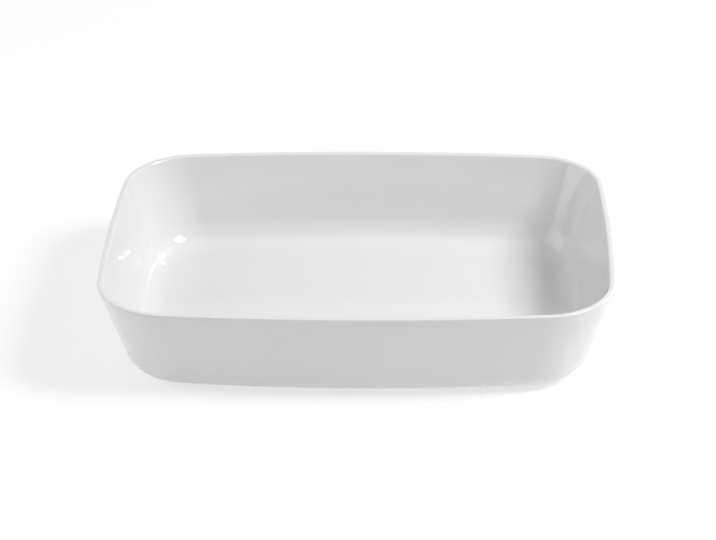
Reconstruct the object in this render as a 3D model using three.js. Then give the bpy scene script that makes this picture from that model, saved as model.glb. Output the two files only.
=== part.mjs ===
// A rectangular baking dish: a stoneware body, fired in one piece, under a coat of white glaze.
// Sizes are in millimetres and +Z is up. The origin is the centre of the footprint, on the table.
// X runs along the dish and Y across it.

import * as THREE from "three";
import {
  mergeGeometries,
  mergeVertices,
  toCreasedNormals,
} from "three/addons/utils/BufferGeometryUtils.js";

// Overall size of the finished dish
const LENGTH = 340;
const WIDTH = 240;
const HEIGHT = 68;

// Outline of the rim: the sides bow outwards, and a bow is measured over the whole side
const RIM_CORNER_RADIUS = 48;
const RIM_LONG_BOW = 8.5;
const RIM_SHORT_BOW = 5.5;

// Outline on which the outer wall would meet the plane of the base
const BASE_CORNER_RADIUS = 42;
const BASE_LONG_BOW = 11;
const BASE_SHORT_BOW = 6;

// Section through a wall: the lip has a crisp outer edge, a flat top and a softer inner edge, and
// the cove runs from its reach across the floor to its rise up the wall
const WALL_DRAFT_DEG = 14.5;
const LIP_OUTER_RADIUS = 0.9;
const LIP_FLAT = 1.5;
const LIP_INNER_RADIUS = 2;
const WALL_THICKNESS_AT_FLOOR = 6;
const FLOOR_THICKNESS = 5.5;
const COVE_REACH = 14;
const COVE_RISE = 18;
const HEEL_RADIUS = 16.5;

// The foot ring under the base, which is wiped clean of glaze
const FOOT_HEIGHT = 1.5;
const FOOT_INSET = 2;
const FOOT_WIDTH = 5;
const FOOT_CHAMFER = 0.5;

// The coat of glaze over the clay
const GLAZE_THICKNESS = 0.4;

// Steps along each curve
const LONG_SIDE_STEPS = 4;
const SHORT_SIDE_STEPS = 3;
const CORNER_STEPS = 8;
const COVE_STEPS = 5;
const LIP_INNER_STEPS = 3;
const LIP_OUTER_STEPS = 2;
const HEEL_STEPS = 4;
const CREASE_DEG = 35;

// Levels and offsets that follow from the sizes above
const FLOOR_TOP = FOOT_HEIGHT + FLOOR_THICKNESS;
const RECESS_TOP = FOOT_HEIGHT + GLAZE_THICKNESS;
const WALL_DRAFT = THREE.MathUtils.degToRad(WALL_DRAFT_DEG);
const BASE_INSET = (HEIGHT - LIP_OUTER_RADIUS - FOOT_HEIGHT) * Math.tan(WALL_DRAFT);
const UP = Math.PI / 2;
const OUTWARDS = Math.PI;
const DOWN = 1.5 * Math.PI;

// Points of an arc, both ends included.
function arc(centre, radius, from, to, steps) {
  return Array.from({ length: steps + 1 }, (_, step) => {
    const angle = THREE.MathUtils.lerp(from, to, step / steps);
    return new THREE.Vector2(Math.cos(angle), Math.sin(angle)).multiplyScalar(radius).add(centre);
  });
}

// An arc of an outline: its points, each with the direction that faces out of the outline there.
function edge(centre, radius, from, to, steps) {
  return arc(centre, radius, from, to, steps).map((at) => {
    const out = at.clone().sub(centre).normalize();
    return { at, out };
  });
}

// Radius of a side that stands out by its bow halfway along.
function sideRadius(halfSide, bow) {
  return (halfSide ** 2 + bow ** 2) / (2 * bow);
}

// Centre of a corner: the point at the two given distances from the centres of its sides.
function cornerCentre(longCentre, longReach, shortCentre, shortReach) {
  const between = shortCentre.clone().sub(longCentre);
  const apart = between.length();
  const unit = between.divideScalar(apart);
  const along = (apart ** 2 + longReach ** 2 - shortReach ** 2) / (2 * apart);
  const across = Math.sqrt(longReach ** 2 - along ** 2);
  return new THREE.Vector2(unit.y, -unit.x)
    .multiplyScalar(across)
    .addScaledVector(unit, along)
    .add(longCentre);
}

// Part of an outline, mirrored across either axis or both.
function mirrored(points, x, y) {
  const flip = (v) => new THREE.Vector2(x * v.x, y * v.y);
  return points.map(({ at, out }) => ({ at: flip(at), out: flip(out) }));
}

// A closed outline of four bowed sides and four corners, tangent to one another, seen from above
// and running anticlockwise from the middle of the right-hand side.
function outline(halfLength, halfWidth, longBow, shortBow, cornerRadius) {
  const longRadius = sideRadius(halfLength, longBow);
  const shortRadius = sideRadius(halfWidth, shortBow);
  const longCentre = new THREE.Vector2(0, halfWidth - longRadius);
  const shortCentre = new THREE.Vector2(halfLength - shortRadius, 0);
  const corner = cornerCentre(
    longCentre,
    longRadius - cornerRadius,
    shortCentre,
    shortRadius - cornerRadius,
  );
  const cornerStart = corner.clone().sub(shortCentre).angle();
  const cornerEnd = corner.clone().sub(longCentre).angle();
  const quarter = [
    ...edge(shortCentre, shortRadius, 0, cornerStart, SHORT_SIDE_STEPS).slice(0, -1),
    ...edge(corner, cornerRadius, cornerStart, cornerEnd, CORNER_STEPS).slice(0, -1),
    ...edge(longCentre, longRadius, cornerEnd, Math.PI / 2, LONG_SIDE_STEPS),
  ];
  const there = quarter.slice(0, -1);
  const back = quarter.slice(1).reverse();
  return [
    ...there,
    ...mirrored(back, -1, 1),
    ...mirrored(there, -1, -1),
    ...mirrored(back, 1, -1),
  ];
}

const rimOutline = outline(LENGTH / 2, WIDTH / 2, RIM_LONG_BOW, RIM_SHORT_BOW, RIM_CORNER_RADIUS);
const baseOutline = outline(
  LENGTH / 2 - BASE_INSET,
  WIDTH / 2 - BASE_INSET,
  BASE_LONG_BOW,
  BASE_SHORT_BOW,
  BASE_CORNER_RADIUS,
);

// A wall's section is drawn in a vertical plane: x runs inwards from the rim, y is the height.
// Lean from the vertical of a wall that touches an edge of the lip and runs down to a corner.
function leanOf(edgeCentre, radius, corner, side) {
  const fall = edgeCentre.y - corner.y;
  const reach = corner.x - edgeCentre.x;
  return Math.atan2(reach, fall) + side * Math.asin(radius / Math.hypot(reach, fall));
}

// The cove from the floor up to a leaning wall, which eases into both, at a depth below its face.
function coveCurve(corner, lean, depth) {
  const onFloor = new THREE.Vector2(corner.x + COVE_REACH, corner.y);
  const upWall = new THREE.Vector2(-Math.sin(lean), Math.cos(lean));
  const onWall = corner.clone().addScaledVector(upWall, COVE_RISE);
  const curve = new THREE.QuadraticBezierCurve(onFloor, corner, onWall);
  return curve.getPoints(COVE_STEPS).map((point, step) => {
    const along = curve.getTangent(step / COVE_STEPS);
    return point.addScaledVector(new THREE.Vector2(-along.y, along.x), depth);
  });
}

// Centre of the heel, the curve between the outer wall and the plane of the base.
function heelCentreOf(corner, lean) {
  const tangent = HEEL_RADIUS * Math.tan((Math.PI / 2 - lean) / 2);
  return new THREE.Vector2(corner.x + tangent, corner.y + HEEL_RADIUS);
}

// The curves of a wall whose base lies the given run inside its rim, at a depth below the finished
// surface: the cove up from the floor, the lip, and the heel down to the base. The side of the foot
// stands a little inside the heel.
function wallCurves(run, depth) {
  const outerEdge = new THREE.Vector2(LIP_OUTER_RADIUS, HEIGHT - LIP_OUTER_RADIUS);
  const innerEdge = new THREE.Vector2(LIP_OUTER_RADIUS + LIP_FLAT, HEIGHT - LIP_INNER_RADIUS);
  const heelCorner = new THREE.Vector2(run, FOOT_HEIGHT);
  const outerLean = leanOf(outerEdge, LIP_OUTER_RADIUS, heelCorner, 1);
  const outerAtFloor = run - FLOOR_THICKNESS * Math.tan(outerLean);
  const coveCorner = new THREE.Vector2(outerAtFloor + WALL_THICKNESS_AT_FLOOR, FLOOR_TOP);
  const innerLean = leanOf(innerEdge, LIP_INNER_RADIUS, coveCorner, -1);
  const heelCentre = heelCentreOf(heelCorner, outerLean);
  const innerRadius = LIP_INNER_RADIUS - depth;
  const outerRadius = LIP_OUTER_RADIUS - depth;
  return {
    cove: coveCurve(coveCorner, innerLean, depth),
    lip: [
      ...arc(innerEdge, innerRadius, innerLean, UP, LIP_INNER_STEPS),
      ...arc(outerEdge, outerRadius, UP, OUTWARDS, LIP_OUTER_STEPS),
      ...arc(outerEdge, outerRadius, OUTWARDS, OUTWARDS + outerLean, 1).slice(1),
    ],
    heel: arc(heelCentre, HEEL_RADIUS - depth, OUTWARDS + outerLean, DOWN, HEEL_STEPS),
    footSide: heelCentre.x + FOOT_INSET,
  };
}

// Columns of points turned into rings, one for each point of a column.
function ringsOf(columns) {
  return columns[0].map((_, k) => columns.map((column) => column[k]));
}

// One section of the dish for each point of its outlines. The lip is square to the rim's outline,
// and the cove, the heel and the foot are square to the outline of the base.
const sections = rimOutline.map((rim, i) => {
  const base = baseOutline[i];
  const run = rim.at.clone().sub(base.at).dot(base.out);
  const place = ({ at, out }, inwards, z) =>
    new THREE.Vector3(at.x - inwards * out.x, at.y - inwards * out.y, z);
  const atRim = (p) => place(rim, p.x, p.y);
  const atBase = (p) => place(base, p.x - run, p.y);
  const wall = (depth) => {
    const { cove, lip, heel, footSide } = wallCurves(run, depth);
    const footTop = new THREE.Vector2(footSide, FOOT_HEIGHT + depth);
    return [...cove.map(atBase), ...lip.map(atRim), ...heel.map(atBase), atBase(footTop)];
  };
  const outerSide = wallCurves(run, 0).footSide;
  const innerSide = outerSide + FOOT_WIDTH;
  const foot = [
    new THREE.Vector2(outerSide, RECESS_TOP),
    new THREE.Vector2(outerSide, FOOT_CHAMFER),
    new THREE.Vector2(outerSide + FOOT_CHAMFER, 0),
    new THREE.Vector2(innerSide - FOOT_CHAMFER, 0),
    new THREE.Vector2(innerSide, FOOT_CHAMFER),
    new THREE.Vector2(innerSide, RECESS_TOP),
  ];
  return { finished: wall(0), clay: wall(GLAZE_THICKNESS), foot: foot.map(atBase) };
});

// A surface from a list of corner points, three to a triangle.
function surface(corners) {
  return new THREE.BufferGeometry().setFromPoints(corners);
}

// The bands between neighbouring rings.
function bands(rings) {
  const corners = [];
  for (let k = 0; k + 1 < rings.length; k++) {
    const [near, far] = [rings[k], rings[k + 1]];
    near.forEach((point, i) => {
      const next = (i + 1) % near.length;
      corners.push(point, far[i], far[next], point, far[next], near[next]);
    });
  }
  return surface(corners);
}

// A level plate inside a ring, facing up.
function plate(ring) {
  const centre = new THREE.Vector3(0, 0, ring[0].z);
  return surface(ring.flatMap((point, i) => [centre, point, ring[(i + 1) % ring.length]]));
}

// The same surface, facing the other way.
function flipped(geometry) {
  const at = geometry.getAttribute("position");
  const corner = (i) => new THREE.Vector3().fromBufferAttribute(at, i);
  const corners = [];
  for (let i = 0; i < at.count; i += 3) {
    corners.push(corner(i), corner(i + 2), corner(i + 1));
  }
  return surface(corners);
}

// One closed solid, shaded smooth except over its sharp edges.
function solid(name, material, surfaces) {
  const closed = mergeVertices(mergeGeometries(surfaces));
  const mesh = new THREE.Mesh(toCreasedNormals(closed, THREE.MathUtils.degToRad(CREASE_DEG)), material);
  mesh.name = name;
  return mesh;
}

const glaze = new THREE.MeshStandardMaterial({ color: 0xf3f3f2, roughness: 0.08, metalness: 0 });
const bareClay = new THREE.MeshStandardMaterial({ color: 0xd8d0c2, roughness: 0.85, metalness: 0 });

const finishedRings = ringsOf(sections.map(({ finished }) => finished));
const clayRings = ringsOf(sections.map(({ clay }) => clay));
const footRings = ringsOf(sections.map(({ foot }) => foot));
const recessClay = footRings.at(-1);
const recessGlaze = recessClay.map((p) => new THREE.Vector3(p.x, p.y, FOOT_HEIGHT));

// The fired clay: floor, walls, rim and foot ring in one piece
const stonewareBody = solid("stoneware_body", bareClay, [
  plate(clayRings[0]),
  bands(clayRings),
  bands(footRings),
  flipped(plate(recessClay)),
]);

// The glaze that lines the dish, wraps over the rim and runs down the outside to the foot
const glazeCoat = solid("glaze_coat", glaze, [
  plate(finishedRings[0]),
  bands(finishedRings),
  bands([finishedRings.at(-1), clayRings.at(-1)]),
  flipped(bands(clayRings)),
  flipped(plate(clayRings[0])),
]);

// The glaze on the underside, inside the foot ring
const baseGlaze = solid("base_glaze", glaze, [
  plate(recessClay),
  bands([recessClay, recessGlaze]),
  flipped(plate(recessGlaze)),
]);

const bakingDish = new THREE.Group();
bakingDish.name = "baking_dish";
bakingDish.add(stonewareBody, glazeCoat, baseGlaze);

export default bakingDish;
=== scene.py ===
# %% [markdown]
# # A rectangular baking dish
# The object is an open ceramic dish: clay pressed to shape, fired, dipped in white glaze and
# fired again. Its solids were made elsewhere, at their real size, and this lesson gives them
# their looks. We load those solids as a fixed frame, model finer pieces in their place, give
# each one a procedural finish, and then light the dish and set a camera on it.

# %% Load the solids
import math

import bpy
from mathutils import Matrix, Vector


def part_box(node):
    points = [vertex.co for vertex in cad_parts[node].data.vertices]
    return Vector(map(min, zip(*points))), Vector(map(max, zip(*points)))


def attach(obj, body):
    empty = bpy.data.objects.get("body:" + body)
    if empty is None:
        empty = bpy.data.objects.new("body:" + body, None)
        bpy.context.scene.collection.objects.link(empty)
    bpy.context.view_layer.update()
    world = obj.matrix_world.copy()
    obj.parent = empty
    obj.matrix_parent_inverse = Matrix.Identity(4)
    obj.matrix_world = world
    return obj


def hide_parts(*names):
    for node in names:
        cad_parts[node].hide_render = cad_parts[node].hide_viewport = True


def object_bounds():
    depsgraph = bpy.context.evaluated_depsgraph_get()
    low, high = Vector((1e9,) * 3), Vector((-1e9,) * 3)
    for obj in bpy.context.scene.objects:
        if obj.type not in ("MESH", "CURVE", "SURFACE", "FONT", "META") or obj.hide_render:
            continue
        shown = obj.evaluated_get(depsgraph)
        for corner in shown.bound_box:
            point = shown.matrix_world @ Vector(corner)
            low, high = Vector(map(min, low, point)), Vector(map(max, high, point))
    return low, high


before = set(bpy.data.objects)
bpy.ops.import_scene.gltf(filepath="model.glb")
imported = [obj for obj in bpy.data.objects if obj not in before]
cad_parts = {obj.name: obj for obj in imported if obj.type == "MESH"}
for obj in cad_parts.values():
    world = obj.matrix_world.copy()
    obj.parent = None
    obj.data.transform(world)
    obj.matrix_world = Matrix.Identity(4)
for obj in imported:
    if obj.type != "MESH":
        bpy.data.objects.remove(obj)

cad_low, cad_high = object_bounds()
print("solids:", sorted(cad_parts))
print("box of the solids:", [round(side, 4) for side in cad_high - cad_low])

# %% [markdown]
# ## The sizes
# Blender works in metres. The overall size and the heights of the glaze come from the frame, so
# the pieces below can't drift away from the solids. The other sizes describe the potter's shape:
# an outline for the rim, a smaller one for the base, and a section that joins the two.

# %% Name the sizes
MM = 0.001

LENGTH, WIDTH, HEIGHT = cad_high - cad_low
FOOT_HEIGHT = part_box("base_glaze")[0].z
GLAZE_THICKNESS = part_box("base_glaze")[1].z - FOOT_HEIGHT

RIM_CORNER_RADIUS = 48 * MM
RIM_LONG_BOW = 8.5 * MM
RIM_SHORT_BOW = 5.5 * MM
BASE_CORNER_RADIUS = 42 * MM
BASE_LONG_BOW = 11 * MM
BASE_SHORT_BOW = 6 * MM

WALL_DRAFT = math.radians(14.5)
LIP_OUTER_RADIUS = 0.9 * MM
LIP_FLAT = 1.5 * MM
LIP_INNER_RADIUS = 2 * MM
WALL_THICKNESS_AT_FLOOR = 6 * MM
FLOOR_THICKNESS = 5.5 * MM
COVE_REACH = 14 * MM
COVE_RISE = 18 * MM
HEEL_RADIUS = 16.5 * MM
FOOT_INSET = 2 * MM
FOOT_WIDTH = 5 * MM
FOOT_EDGE = 0.5 * MM

FLOOR_TOP = FOOT_HEIGHT + FLOOR_THICKNESS
BASE_INSET = (HEIGHT - LIP_OUTER_RADIUS - FOOT_HEIGHT) * math.tan(WALL_DRAFT)
print(f"dish {LENGTH:.3f} x {WIDTH:.3f} x {HEIGHT:.3f} m, glaze {GLAZE_THICKNESS / MM:.2f} mm thick")

# %% [markdown]
# ## The two outlines
# Seen from above, the dish isn't a true rectangle: its sides bow out a little, and round corners
# join them. A curve object with handles could draw that, but a bow and a radius are easier to
# hold to a size as arcs. Each outline is eight arcs, tangent to one another, and every point
# keeps the direction that faces outwards there, because the section is swept square to it.

# %% Draw the rim and the base as arcs
LONG_SIDE_STEPS = 26
SHORT_SIDE_STEPS = 18
CORNER_STEPS = 30


def arc(centre, radius, start, end, steps):
    """Points of an arc, both ends included."""
    angles = [start + (end - start) * step / steps for step in range(steps + 1)]
    return [centre + radius * Vector((math.cos(a), math.sin(a))) for a in angles]


def edge(centre, radius, start, end, steps):
    """An arc of an outline, as points with the direction that faces out of the outline there."""
    return [(point, (point - centre).normalized()) for point in arc(centre, radius, start, end, steps)]


def corner_centre(long_centre, long_reach, short_centre, short_reach):
    """The point at the two given distances from the centres of the sides."""
    link = short_centre - long_centre
    apart = link.length
    unit = link / apart
    along = (apart**2 + long_reach**2 - short_reach**2) / (2 * apart)
    across = math.sqrt(long_reach**2 - along**2)
    return long_centre + along * unit + across * Vector((unit.y, -unit.x))


def mirrored(points, x, y):
    """Part of an outline, mirrored across either axis or both."""
    return [(Vector((x * p.x, y * p.y)), Vector((x * out.x, y * out.y))) for p, out in points]


def outline(half_length, half_width, long_bow, short_bow, corner_radius):
    """Four bowed sides and four corners, anticlockwise from the middle of the right-hand side."""
    long_radius = (half_length**2 + long_bow**2) / (2 * long_bow)
    short_radius = (half_width**2 + short_bow**2) / (2 * short_bow)
    long_centre = Vector((0, half_width - long_radius))
    short_centre = Vector((half_length - short_radius, 0))
    corner = corner_centre(
        long_centre, long_radius - corner_radius, short_centre, short_radius - corner_radius
    )
    start = math.atan2(corner.y - short_centre.y, corner.x - short_centre.x)
    end = math.atan2(corner.y - long_centre.y, corner.x - long_centre.x)
    quarter = [
        *edge(short_centre, short_radius, 0, start, SHORT_SIDE_STEPS)[:-1],
        *edge(corner, corner_radius, start, end, CORNER_STEPS)[:-1],
        *edge(long_centre, long_radius, end, math.pi / 2, LONG_SIDE_STEPS),
    ]
    there, back = quarter[:-1], quarter[:0:-1]
    return [*there, *mirrored(back, -1, 1), *mirrored(there, -1, -1), *mirrored(back, 1, -1)]


rim_outline = outline(LENGTH / 2, WIDTH / 2, RIM_LONG_BOW, RIM_SHORT_BOW, RIM_CORNER_RADIUS)
base_outline = outline(
    LENGTH / 2 - BASE_INSET,
    WIDTH / 2 - BASE_INSET,
    BASE_LONG_BOW,
    BASE_SHORT_BOW,
    BASE_CORNER_RADIUS,
)
print(len(rim_outline), "points round the rim, and as many round the base")

# %% [markdown]
# ## The section of the wall
# Cut through a wall and you see a cove where it leaves the floor, a straight inner face, a lip with
# a soft inner edge, a flat top and a crisp outer edge, a straight outer face and a rounded heel.
# The outline isn't a circle, so a Screw modifier can't sweep the section round it, and we work it
# out for each point of the outlines. The same functions draw the finished surface at depth nought
# and the clay one glaze thickness below it.

# %% Work out the section at each point
COVE_STEPS = 18
LIP_STEPS = 8
HEEL_STEPS = 14
WALL_STEPS = 8
UP, OUTWARDS, DOWN = math.pi / 2, math.pi, 1.5 * math.pi


def lean_of(edge_centre, radius, corner, side):
    """Lean from the vertical of a wall that touches an edge of the lip and runs down to a corner."""
    fall, reach = edge_centre.y - corner.y, corner.x - edge_centre.x
    return math.atan2(reach, fall) + side * math.asin(radius / math.hypot(reach, fall))


def cove_curve(corner, lean, depth):
    """The cove from the floor up to the wall: a curve that eases into both, as a poured one does."""
    on_floor = corner + Vector((COVE_REACH, 0))
    on_wall = corner + COVE_RISE * Vector((-math.sin(lean), math.cos(lean)))
    points = []
    for step in range(COVE_STEPS + 1):
        share = step / COVE_STEPS
        low, high = on_floor.lerp(corner, share), corner.lerp(on_wall, share)
        along = (high - low).normalized()
        points.append(low.lerp(high, share) - depth * Vector((along.y, -along.x)))
    return points


def heel_centre_of(corner, lean):
    """Centre of the curve between the outer wall and the plane of the base."""
    return corner + Vector((HEEL_RADIUS * math.tan((math.pi / 2 - lean) / 2), HEEL_RADIUS))


def wall_curves(run, depth):
    """Cove, lip and heel of a wall whose base lies run inside its rim, and the side of the foot."""
    outer_edge = Vector((LIP_OUTER_RADIUS, HEIGHT - LIP_OUTER_RADIUS))
    inner_edge = Vector((LIP_OUTER_RADIUS + LIP_FLAT, HEIGHT - LIP_INNER_RADIUS))
    heel_corner = Vector((run, FOOT_HEIGHT))
    outer_lean = lean_of(outer_edge, LIP_OUTER_RADIUS, heel_corner, 1)
    outer_at_floor = run - FLOOR_THICKNESS * math.tan(outer_lean)
    cove_corner = Vector((outer_at_floor + WALL_THICKNESS_AT_FLOOR, FLOOR_TOP))
    inner_lean = lean_of(inner_edge, LIP_INNER_RADIUS, cove_corner, -1)
    lip = [
        *arc(inner_edge, LIP_INNER_RADIUS - depth, inner_lean, UP, LIP_STEPS),
        *arc(outer_edge, LIP_OUTER_RADIUS - depth, UP, OUTWARDS, LIP_STEPS),
        *arc(outer_edge, LIP_OUTER_RADIUS - depth, OUTWARDS, OUTWARDS + outer_lean, 2)[1:],
    ]
    heel_centre = heel_centre_of(heel_corner, outer_lean)
    heel = arc(heel_centre, HEEL_RADIUS - depth, OUTWARDS + outer_lean, DOWN, HEEL_STEPS)
    return cove_curve(cove_corner, inner_lean, depth), lip, heel, heel_centre.x + FOOT_INSET


def between(start, end, steps):
    """Points strictly between two points, so that a straight face is cut into even bands."""
    return [start.lerp(end, step / steps) for step in range(1, steps)]


def place(edge_point, inwards, height):
    """A section's point, set square to an outline."""
    point, out = edge_point
    return Vector((point.x - inwards * out.x, point.y - inwards * out.y, height))


def section_at(rim, base):
    """One section: the finished surface, the clay under it, and the foot ring."""
    run = (rim[0] - base[0]).dot(base[1])
    walls = []
    for depth in (0, GLAZE_THICKNESS):
        cove, lip, heel, foot_side = wall_curves(run, depth)
        cove = [place(base, p.x - run, p.y) for p in cove]
        lip = [place(rim, p.x, p.y) for p in lip]
        heel = [place(base, p.x - run, p.y) for p in heel]
        inner_face = between(cove[-1], lip[0], WALL_STEPS)
        outer_face = between(lip[-1], heel[0], WALL_STEPS)
        foot_top = place(base, foot_side - run, FOOT_HEIGHT + depth)
        walls.append([*cove, *inner_face, *lip, *outer_face, *heel, foot_top])
    return *walls, foot_side - run


sections = [section_at(rim, base) for rim, base in zip(rim_outline, base_outline)]
print("points in one section of the wall:", len(sections[0][0]))

# %% [markdown]
# ## The glaze
# The glaze is a skin, wet-dipped, so it covers the floor, the walls and the rim without a seam and
# stops at the foot, which is wiped bare before firing. We loft rings of points into one sheet and
# let a Solidify modifier give it its thickness, inwards, down to the clay.

# %% Loft the glaze over the dish
SHARP_ANGLE = math.radians(40)


def rings_of(columns):
    """Columns of points turned into rings, one for each point of a column."""
    return [list(ring) for ring in zip(*columns)]


def plate_rings(ring, shares):
    """Rings inside a flat ring, drawn in towards its middle."""
    middle = Vector((0, 0, ring[0].z))
    return [[middle.lerp(point, share) for point in ring] for share in shares]


def loft(name, rings, closed_start=False, closed_end=False):
    """A mesh object from rings of points, with a fan of triangles over either end."""
    around = len(rings[0])
    points = [point for ring in rings for point in ring]
    faces = []
    for k in range(len(rings) - 1):
        for i in range(around):
            near, far, step = k * around, (k + 1) * around, (i + 1) % around
            faces.append((near + i, far + i, far + step, near + step))
    for wanted, first, turn in ((closed_start, 0, 1), (closed_end, (len(rings) - 1) * around, -1)):
        if wanted:
            middle = len(points)
            points.append(Vector((0, 0, points[first].z)))
            fan = [(middle, first + i, first + (i + 1) % around) for i in range(around)]
            faces += [face[::turn] for face in fan]
    mesh = bpy.data.meshes.new(name)
    mesh.from_pydata(points, [], faces)
    mesh.shade_smooth()
    mesh.set_sharp_from_angle(angle=SHARP_ANGLE)
    piece = bpy.data.objects.new(name, mesh)
    bpy.context.scene.collection.objects.link(piece)
    print(f"{name}: {len(points)} points, {len(faces)} faces")
    return piece


FLOOR_SHARES = (0.2, 0.4, 0.6, 0.8)

finished_rings = rings_of([section[0] for section in sections])
floor_rings = plate_rings(finished_rings[0], FLOOR_SHARES)
glaze_coat = loft("dish_glaze", [*floor_rings, *finished_rings], closed_start=True)
coat = glaze_coat.modifiers.new("coat thickness", "SOLIDIFY")
coat.thickness = GLAZE_THICKNESS
coat.offset = -1
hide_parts("glaze_coat")
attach(glaze_coat, "root")

# %% [markdown]
# ## The clay
# Under the glaze lies the fired clay, one piece from floor to foot. Only the foot ring shows, a
# low band that was sponged clean and then ground flat. We loft the whole body all the same, so
# that the piece is closed and the ring grows out of real clay.

# %% Loft the clay body and its foot ring
FOOT_EDGE_STEPS = 4


def foot_points(base, side):
    """The foot ring's section at one point, down its outer side, across the sole and up inside."""
    outer = Vector((side + FOOT_EDGE, FOOT_EDGE))
    inner = Vector((side + FOOT_WIDTH - FOOT_EDGE, FOOT_EDGE))
    top = FOOT_HEIGHT + GLAZE_THICKNESS
    curve = [
        *arc(outer, FOOT_EDGE, OUTWARDS, DOWN, FOOT_EDGE_STEPS),
        *arc(inner, FOOT_EDGE, DOWN, 2 * math.pi, FOOT_EDGE_STEPS),
        Vector((side + FOOT_WIDTH, top)),
    ]
    return [place(base, p.x, p.y) for p in curve]


clay_rings = rings_of([section[1] for section in sections])
clay_floor = plate_rings(clay_rings[0], FLOOR_SHARES)
foot_rings = rings_of([foot_points(base, section[2]) for base, section in zip(base_outline, sections)])
recess_rings = plate_rings(foot_rings[-1], FLOOR_SHARES[::-1])
clay_body = loft(
    "clay_body",
    [*clay_floor, *clay_rings, *foot_rings, *recess_rings],
    closed_start=True,
    closed_end=True,
)
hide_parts("stoneware_body")
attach(clay_body, "root")

# %% [markdown]
# ## The glaze underneath
# Inside the foot ring the underside is glazed too. Molten glaze creeps a little way down the ring
# before it sets, so its edge is a small hollow curve and not a square corner.

# %% Loft the glaze inside the foot ring
CREEP = 0.5 * MM
CREEP_STEPS = 6


def recess_points(base, side):
    """Section of the base's glaze at one point: down the ring's inner side, and in along its face."""
    ring = side + FOOT_WIDTH
    hollow = Vector((ring + CREEP, FOOT_HEIGHT - CREEP))
    curve = [
        Vector((ring, FOOT_HEIGHT + GLAZE_THICKNESS)),
        *arc(hollow, CREEP, OUTWARDS, UP, CREEP_STEPS),
    ]
    return [place(base, p.x, p.y) for p in curve]


base_columns = [recess_points(base, section[2]) for base, section in zip(base_outline, sections)]
creep_rings = rings_of(base_columns)
base_top = plate_rings(creep_rings[0], FLOOR_SHARES)
base_face = plate_rings(creep_rings[-1], FLOOR_SHARES[::-1])
base_glaze = loft(
    "base_glaze_face",
    [*base_top, *creep_rings, *base_face],
    closed_start=True,
    closed_end=True,
)
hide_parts("base_glaze")
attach(base_glaze, "root")

# %% [markdown]
# ## Effects that the finishes share
# Glaze and clay come out of the same kiln, so they have the same kinds of unevenness: tone that
# drifts from place to place, a surface that isn't quite flat, a few specks, and a soft line where
# the glaze was wiped off the foot. Each of these is a node group. A material then only has to say
# how large and how strong its own version is. First come two helpers that keep the wiring short.

# %% Two helpers for nodes
def add(tree, kind, inputs=None, **settings):
    """A node in a tree, with inputs that are set to a value or linked from another node."""
    node = tree.nodes.new("ShaderNode" + kind)
    for setting, value in settings.items():
        setattr(node, setting, value)
    for socket, value in (inputs or {}).items():
        if isinstance(value, bpy.types.NodeSocket):
            tree.links.new(value, node.inputs[socket])
        else:
            node.inputs[socket].default_value = value
    return node


def new_group(name, inputs, outputs):
    """An empty node group with named sockets, and its input and output nodes."""
    group = bpy.data.node_groups.new(name, "ShaderNodeTree")
    for in_out, sockets in (("INPUT", inputs), ("OUTPUT", outputs)):
        for socket, kind in sockets.items():
            group.interface.new_socket(socket, in_out=in_out, socket_type="NodeSocket" + kind)
    return group, group.nodes.new("NodeGroupInput").outputs, group.nodes.new("NodeGroupOutput").inputs


# %% [markdown]
# ### Tone that drifts
# Glaze is never quite the same thickness, and clay never quite the same mix, so their tone wanders
# over a few centimetres. A noise texture in object coordinates stays with the piece when it moves.
# Its values rarely leave a middle range, and we stretch that range to run from minus one to one.

# %% Group the drifting tone
NOISE_LOW, NOISE_HIGH = 0.3, 0.7

tone_drift, given, result = new_group(
    "tone_drift",
    {"Color": "Color", "Scale": "Float", "Amount": "Float"},
    {"Color": "Color", "Drift": "Float"},
)
where = add(tone_drift, "TexCoord").outputs["Object"]
clouds = add(tone_drift, "TexNoise", {"Vector": where, "Scale": given["Scale"], "Detail": 2.0})
drift = add(
    tone_drift,
    "MapRange",
    {
        "Value": clouds.outputs["Fac"],
        "From Min": NOISE_LOW,
        "From Max": NOISE_HIGH,
        "To Min": -1.0,
        "To Max": 1.0,
    },
)
gain = add(
    tone_drift,
    "Math",
    {0: drift.outputs["Result"], 1: given["Amount"], 2: 1.0},
    operation="MULTIPLY_ADD",
)
toned = add(
    tone_drift,
    "VectorMath",
    {0: given["Color"], "Scale": gain.outputs["Value"]},
    operation="SCALE",
)
tone_drift.links.new(toned.outputs["Vector"], result["Color"])
tone_drift.links.new(drift.outputs["Result"], result["Drift"])
print("tone_drift:", len(tone_drift.nodes), "nodes")

# %% [markdown]
# ### A surface that isn't quite flat
# Molten glaze levels itself but keeps long, shallow waves and a fine skin like an orange's. Clay
# has the same two scales, as the marks of the sponge and the grain of the sand. Two noises are
# mixed into one height, which each material feeds to a Bump node at its own depth.

# %% Group the uneven surface
uneven, given, result = new_group(
    "uneven_surface",
    {"Wave Scale": "Float", "Grain Scale": "Float", "Grain Share": "Float"},
    {"Height": "Float"},
)
where = add(uneven, "TexCoord").outputs["Object"]
waves = add(uneven, "TexNoise", {"Vector": where, "Scale": given["Wave Scale"], "Detail": 1.0})
grain = add(uneven, "TexNoise", {"Vector": where, "Scale": given["Grain Scale"], "Detail": 2.0})
height = add(
    uneven,
    "Mix",
    {"Factor": given["Grain Share"], "A": waves.outputs["Fac"], "B": grain.outputs["Fac"]},
)
uneven.links.new(height.outputs["Result"], result["Height"])
print("uneven_surface:", len(uneven.nodes), "nodes")

# %% [markdown]
# ### Specks
# Gas leaves pinholes in a glaze, and iron leaves dark grains in a clay. A Voronoi texture scatters
# points in space: near a point the mask is one, and a random value for each cell leaves most of
# the points out, so that the specks that stay are far apart and of different sizes.

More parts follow.
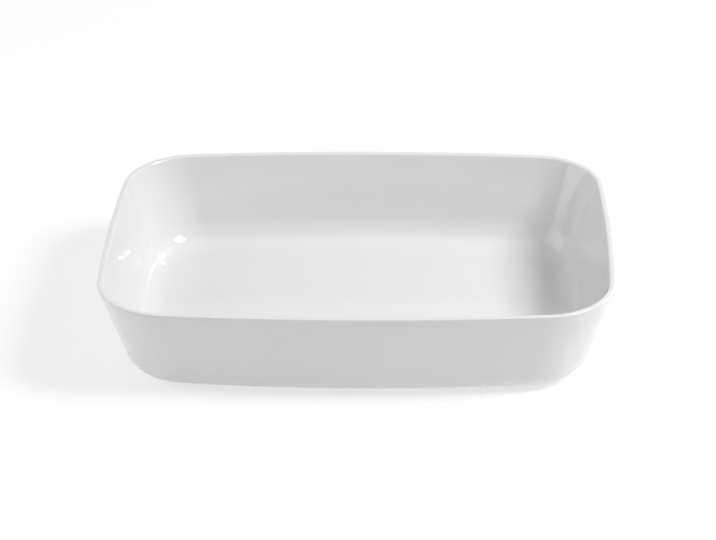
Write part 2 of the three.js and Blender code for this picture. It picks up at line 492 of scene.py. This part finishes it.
# %% Group the specks
specks, given, result = new_group(
    "specks",
    {"Scale": "Float", "Size": "Float", "Share": "Float"},
    {"Mask": "Float"},
)
where = add(specks, "TexCoord").outputs["Object"]
cells = add(specks, "TexVoronoi", {"Vector": where, "Scale": given["Scale"]})
near = add(
    specks,
    "MapRange",
    {"Value": cells.outputs["Distance"], "From Max": given["Size"], "To Min": 1.0, "To Max": 0.0},
    interpolation_type="SMOOTHSTEP",
)
chance = add(specks, "SeparateColor", {"Color": cells.outputs["Color"]}).outputs["Red"]
kept = add(specks, "Math", {0: chance, 1: given["Share"]}, operation="LESS_THAN")
mask = add(
    specks, "Math", {0: near.outputs["Result"], 1: kept.outputs["Value"]}, operation="MULTIPLY"
)
specks.links.new(mask.outputs["Value"], result["Mask"])
print("specks:", len(specks.nodes), "nodes")

# %% [markdown]
# ### The wiped line
# The foot is sponged before firing, so the glaze thins out just above it and leaves a haze just
# below. Both are bands at a height, from one at Full to nought at None, with a hand's wobble.

# %% Group the wiped line
HAND_SCALE = 90.0

wiped_line, given, result = new_group(
    "wiped_line",
    {"Full": "Float", "None": "Float", "Wobble": "Float"},
    {"Mask": "Float"},
)
where = add(wiped_line, "TexCoord").outputs["Object"]
level = add(wiped_line, "SeparateXYZ", {"Vector": where}).outputs["Z"]
hand = add(wiped_line, "TexNoise", {"Vector": where, "Scale": HAND_SCALE, "Detail": 1.0})
sway = add(wiped_line, "Math", {0: hand.outputs["Fac"], 1: 0.5}, operation="SUBTRACT")
line = add(
    wiped_line,
    "Math",
    {0: sway.outputs["Value"], 1: given["Wobble"], 2: level},
    operation="MULTIPLY_ADD",
)
band = add(
    wiped_line,
    "MapRange",
    {
        "Value": line.outputs["Value"],
        "From Min": given["Full"],
        "From Max": given["None"],
        "To Min": 1.0,
        "To Max": 0.0,
    },
    interpolation_type="SMOOTHSTEP",
)
wiped_line.links.new(band.outputs["Result"], result["Mask"])
print("wiped_line:", len(wiped_line.nodes), "nodes")

# %% [markdown]
# ## The white glaze
# The glaze is a white glass: light enters it, scatters and comes out white, and part of it is
# mirrored at the surface. A Principled shader does both. A subsurface shader would be nearer to
# the truth, but at this thickness it looks the same and costs more. The same function makes the
# glaze of the dish and the thinner, duller coat underneath, each with its own values. A Mix node has
# several sockets with the same name, one for each kind of data, so those for colours go by number.

# %% Make the two glazes
MIX_SHARE, MIX_UNDER, MIX_OVER, MIX_RESULT = 0, 6, 7, 2


def effect(tree, group, inputs):
    """The outputs of one of the groups above, placed in a material with its own values."""
    return add(tree, "Group", inputs, node_tree=group).outputs


def blended(tree, mask, under, tint):
    """A colour laid over another where a mask is, at part strength."""
    over, strength = tint
    share = add(tree, "Math", {0: mask, 1: strength}, operation="MULTIPLY").outputs["Value"]
    sockets = {MIX_SHARE: share, MIX_UNDER: under, MIX_OVER: (*over, 1)}
    return add(tree, "Mix", sockets, data_type="RGBA").outputs[MIX_RESULT]


def fired_finish(name, colour, drift, line, line_tint, spots, spot_tint, roughness, relief, depth):
    """A fired surface: a drifting tone, a wiped line, specks, a varied gloss and a fine relief."""
    material = bpy.data.materials.new(name)
    material.use_nodes = True
    tree = material.node_tree
    shader = tree.nodes["Principled BSDF"]
    tone = effect(tree, tone_drift, {"Color": (*colour, 1), **drift})
    wiped = effect(tree, wiped_line, line)
    base = blended(tree, wiped["Mask"], tone["Color"], line_tint)
    speckled = effect(tree, specks, spots)
    base = blended(tree, speckled["Mask"], base, spot_tint)
    tree.links.new(base, shader.inputs["Base Color"])
    smoothest, roughest = roughness
    gloss = add(
        tree,
        "MapRange",
        {
            "Value": tone["Drift"],
            "From Min": -1.0,
            "From Max": 1.0,
            "To Min": smoothest,
            "To Max": roughest,
        },
    )
    tree.links.new(gloss.outputs["Result"], shader.inputs["Roughness"])
    surface = effect(tree, uneven, relief)
    bump = add(tree, "Bump", {"Height": surface["Height"], "Strength": 1.0, "Distance": depth})
    tree.links.new(bump.outputs["Normal"], shader.inputs["Normal"])
    print(f"{name}: {len(tree.nodes)} nodes")
    return material


GLAZE_WHITE = (0.760, 0.760, 0.764)
THIN_GLAZE = (0.70, 0.685, 0.65)

white_glaze = fired_finish(
    "white_glaze",
    GLAZE_WHITE,
    drift={"Scale": 14.0, "Amount": 0.008},
    line={"Full": FOOT_HEIGHT, "None": FOOT_HEIGHT + 1.2 * MM, "Wobble": 0.6 * MM},
    line_tint=(THIN_GLAZE, 0.6),
    spots={"Scale": 260.0, "Size": 0.075, "Share": 0.05},
    spot_tint=((0.58, 0.56, 0.52), 0.5),
    roughness=(0.05, 0.075),
    relief={"Wave Scale": 45.0, "Grain Scale": 700.0, "Grain Share": 0.06},
    depth=0.06 * MM,
)
base_white = fired_finish(
    "base_white",
    GLAZE_WHITE,
    drift={"Scale": 22.0, "Amount": 0.015},
    line={"Full": FOOT_HEIGHT - CREEP, "None": FOOT_HEIGHT, "Wobble": 0.3 * MM},
    line_tint=(THIN_GLAZE, 0.7),
    spots={"Scale": 300.0, "Size": 0.11, "Share": 0.10},
    spot_tint=((0.52, 0.49, 0.44), 0.6),
    roughness=(0.10, 0.18),
    relief={"Wave Scale": 60.0, "Grain Scale": 800.0, "Grain Share": 0.08},
    depth=0.08 * MM,
)
glaze_coat.data.materials.append(white_glaze)
base_glaze.data.materials.append(base_white)

# %% [markdown]
# ## The bare clay
# The foot ring is bare stoneware: pale, matt and slightly sandy, with small dark grains and a haze
# of glaze that the sponge left along its top. It is the same recipe as the glaze, with much rougher
# and grainier values, so the same function makes it.

# %% Make the clay
CLAY = (0.62, 0.585, 0.52)

bare_clay = fired_finish(
    "bare_clay",
    CLAY,
    drift={"Scale": 35.0, "Amount": 0.05},
    line={"Full": FOOT_HEIGHT, "None": FOOT_HEIGHT - 0.9 * MM, "Wobble": 0.5 * MM},
    line_tint=(THIN_GLAZE, 0.75),
    spots={"Scale": 900.0, "Size": 0.32, "Share": 0.22},
    spot_tint=((0.30, 0.25, 0.20), 0.7),
    roughness=(0.72, 0.88),
    relief={"Wave Scale": 160.0, "Grain Scale": 2600.0, "Grain Share": 0.6},
    depth=0.10 * MM,
)
clay_body.data.materials.append(bare_clay)

# %% [markdown]
# ## The table
# The dish stands on a plain white table that runs out of sight. The camera should see it white, and
# still see the dish's shadow on it. So the table is a matt white surface for light that bounces
# about, and for the camera and for reflections part of its white is its own glow: the shadow stays,
# only paler. From below the table is clear, so that the foot can be looked at.

# %% Lay the table
TABLE_HALF = 6.0
TABLE_WHITE = 0.85
TABLE_GLOW = 0.165
SEEN_WHITE = 0.36
SEEN_GLOW = 0.66

table_mesh = bpy.data.meshes.new("table")
corners = [(-1, -1), (1, -1), (1, 1), (-1, 1)]
table_mesh.from_pydata([(x * TABLE_HALF, y * TABLE_HALF, 0) for x, y in corners], [], [(0, 1, 2, 3)])
table = bpy.data.objects.new("table", table_mesh)
bpy.context.scene.collection.objects.link(table)


def seen(tree):
    """One for rays from the camera, in a mirror or through glass, and nought for scattered light."""
    path = add(tree, "LightPath").outputs
    mirrored_too = add(
        tree, "Math", {0: path["Is Camera Ray"], 1: path["Is Glossy Ray"]}, operation="MAXIMUM"
    )
    return add(
        tree,
        "Math",
        {0: mirrored_too.outputs["Value"], 1: path["Is Transmission Ray"]},
        operation="MAXIMUM",
    ).outputs["Value"]


def white_and_glow(tree, white, glow):
    """A matt white that also shines by itself."""
    matt = add(tree, "BsdfDiffuse", {"Color": (white, white, white, 1)})
    shine = add(tree, "Emission", {"Strength": glow})
    both = add(tree, "AddShader", {0: matt.outputs["BSDF"], 1: shine.outputs["Emission"]})
    return both.outputs["Shader"]


table_white = bpy.data.materials.new("table_white")
table_white.use_nodes = True
tree = table_white.node_tree
tree.nodes.remove(tree.nodes["Principled BSDF"])
for_light = white_and_glow(tree, TABLE_WHITE, TABLE_GLOW)
for_eye = white_and_glow(tree, SEEN_WHITE, SEEN_GLOW)
top = add(tree, "MixShader", {0: seen(tree), 1: for_light, 2: for_eye})
clear = add(tree, "BsdfTransparent")
side = add(tree, "NewGeometry").outputs["Backfacing"]
both_sides = add(tree, "MixShader", {0: side, 1: top.outputs["Shader"], 2: clear.outputs["BSDF"]})
tree.links.new(both_sides.outputs["Shader"], tree.nodes["Material Output"].inputs["Surface"])
table.data.materials.append(table_white)
print("table:", 2 * TABLE_HALF, "m square")

# %% [markdown]
# ## The light
# White glaze shows its shape only by shade, so the light has to come from one side. A big softbox
# on the right is the key: it lights the far inside of the left wall, leaves the right wall in
# shade, and its mirror image is the small bright spot in the far corner. A wide, weak one on the
# left lights the front and the right wall, one behind on the right draws a fainter glint beside
# the first, and a faint one overhead lifts the floor.

# %% Set the lights
scene = bpy.context.scene
scene.view_settings.view_transform = "Standard"
LAMP_DISTANCE = 2.4


def softbox(name, azimuth, elevation, wide, tall, brightness):
    """A softbox that faces the dish. Its place and size are degrees, as the dish sees them."""
    turn, rise = math.radians(azimuth), math.radians(elevation)
    towards = Vector((
        math.sin(turn) * math.cos(rise),
        -math.cos(turn) * math.cos(rise),
        math.sin(rise),
    ))
    lamp = bpy.data.lights.new(name, "AREA")
    lamp.shape = "RECTANGLE"
    lamp.size = 2 * LAMP_DISTANCE * math.tan(math.radians(wide) / 2)
    lamp.size_y = 2 * LAMP_DISTANCE * math.tan(math.radians(tall) / 2)
    lamp.energy = brightness * math.pi * lamp.size * lamp.size_y
    holder = bpy.data.objects.new(name, lamp)
    holder.location = towards * LAMP_DISTANCE + Vector((0, 0, HEIGHT / 2))
    holder.rotation_euler = towards.to_track_quat("Z", "Y").to_euler()
    holder.visible_camera = False
    scene.collection.objects.link(holder)
    print(f"{name}: {lamp.size:.2f} x {lamp.size_y:.2f} m, {lamp.energy:.0f} W")


softbox("key", azimuth=75.5, elevation=45, wide=15, tall=18, brightness=30.0)
softbox("left_fill", azimuth=-90, elevation=23, wide=50, tall=46, brightness=1.8)
softbox("back_fill", azimuth=138, elevation=38, wide=36, tall=18, brightness=1.75)
softbox("overhead", azimuth=0, elevation=84, wide=44, tall=44, brightness=0.7)

# %% [markdown]
# ## The room
# A white room would send light to the dish from all round and wash out its shape. So the room is
# nearly dark for scattered light, and plain white for the camera and for what the glaze mirrors.

# %% Make the room
ROOM_LIGHT = 0.165

world = bpy.data.worlds.new("studio")
scene.world = world
world.use_nodes = True
tree = world.node_tree
dim = tree.nodes["Background"]
dim.inputs["Color"].default_value = (1, 1, 1, 1)
dim.inputs["Strength"].default_value = ROOM_LIGHT
white = add(tree, "Background", {"Color": (1, 1, 1, 1), "Strength": 1.0})
room = add(
    tree,
    "MixShader",
    {0: seen(tree), 1: dim.outputs["Background"], 2: white.outputs["Background"]},
)
tree.links.new(room.outputs["Shader"], tree.nodes["World Output"].inputs["Surface"])
print("room light:", ROOM_LIGHT)

# %% [markdown]
# ## The camera
# The camera stands where the photographer stood: a long lens, a step back, looking down on the
# dish. Its turn, its height and its tilt were found by laying the rim over the picture.

# %% Place the camera
FRAME_WIDTH = 716
FRAME_HEIGHT = 540
SENSOR_WIDTH = 36.0
LENS = 115.3
VIEW_TURN = math.radians(2.331)
VIEW_HEIGHT = math.radians(29.164)
VIEW_ROLL = math.radians(0.93)
VIEW_DISTANCE = 1.5478
RIM_CENTRE_PIXEL = Vector((359.0, 229.9))

focal_pixels = LENS / SENSOR_WIDTH * FRAME_WIDTH
back = Vector((
    math.sin(VIEW_TURN) * math.cos(VIEW_HEIGHT),
    -math.cos(VIEW_TURN) * math.cos(VIEW_HEIGHT),
    math.sin(VIEW_HEIGHT),
))
right = Vector((0, 0, 1)).cross(back).normalized()
level = Matrix((right, back.cross(right), back)).transposed()
aim = level @ Matrix.Rotation(-VIEW_ROLL, 3, "Z")
offset = RIM_CENTRE_PIXEL - Vector((FRAME_WIDTH, FRAME_HEIGHT)) / 2
to_rim = Vector((offset.x / focal_pixels, -offset.y / focal_pixels, -1)).normalized()

camera_data = bpy.data.cameras.new("camera")
camera_data.sensor_width = SENSOR_WIDTH
camera_data.lens = LENS
camera = bpy.data.objects.new("camera", camera_data)
camera.matrix_world = Matrix.Translation(
    Vector((0, 0, HEIGHT)) - aim @ to_rim * VIEW_DISTANCE
) @ aim.to_4x4()
scene.collection.objects.link(camera)
scene.camera = camera
print("camera at", [round(value, 3) for value in camera.location])
